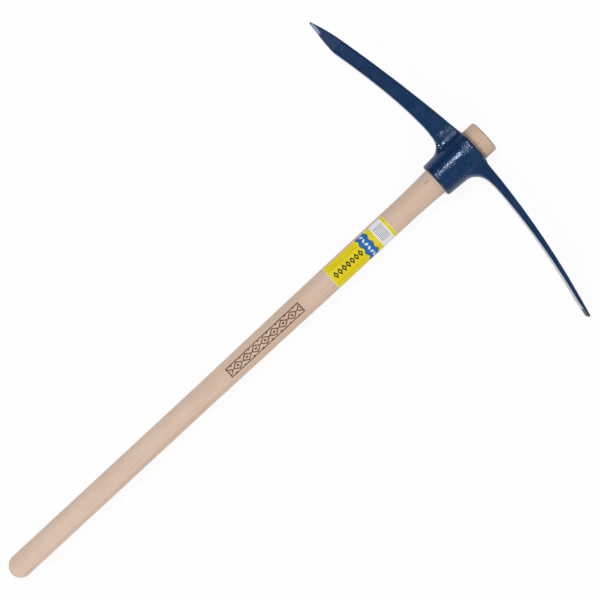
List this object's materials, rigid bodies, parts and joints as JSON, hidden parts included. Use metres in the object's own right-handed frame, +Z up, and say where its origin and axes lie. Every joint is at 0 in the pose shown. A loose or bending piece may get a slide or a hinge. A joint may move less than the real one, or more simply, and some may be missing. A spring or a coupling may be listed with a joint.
{
  "type": "pick axe",
  "caption": "Digging pick: a forged head with a point on one side and a chisel blade on the other, slipped onto the flared top of a turned wooden handle.",
  "frame": {"origin": "on the handle's axis, halfway along the straight grip", "axes": "+X along the handle from its butt to the head, +Y towards the point, +Z up from the surface that the tool lies on"},
  "size_m": [0.95, 0.597, 0.065],
  "materials": {
    "blue_lacquer": "gloss",
    "beech": "satin",
    "label_paper": "satin"
  },
  "bodies": {
    "handle": {"handle": "beech", "label": "label_paper"},
    "head": {"forged_head": "blue_lacquer"}
  },
  "joints": [
    {"name": "head_slide", "type": "slide", "parent": "handle", "child": "head", "axis": [-1, 0, 0], "range_m": [0, 0.94]}
  ]
}
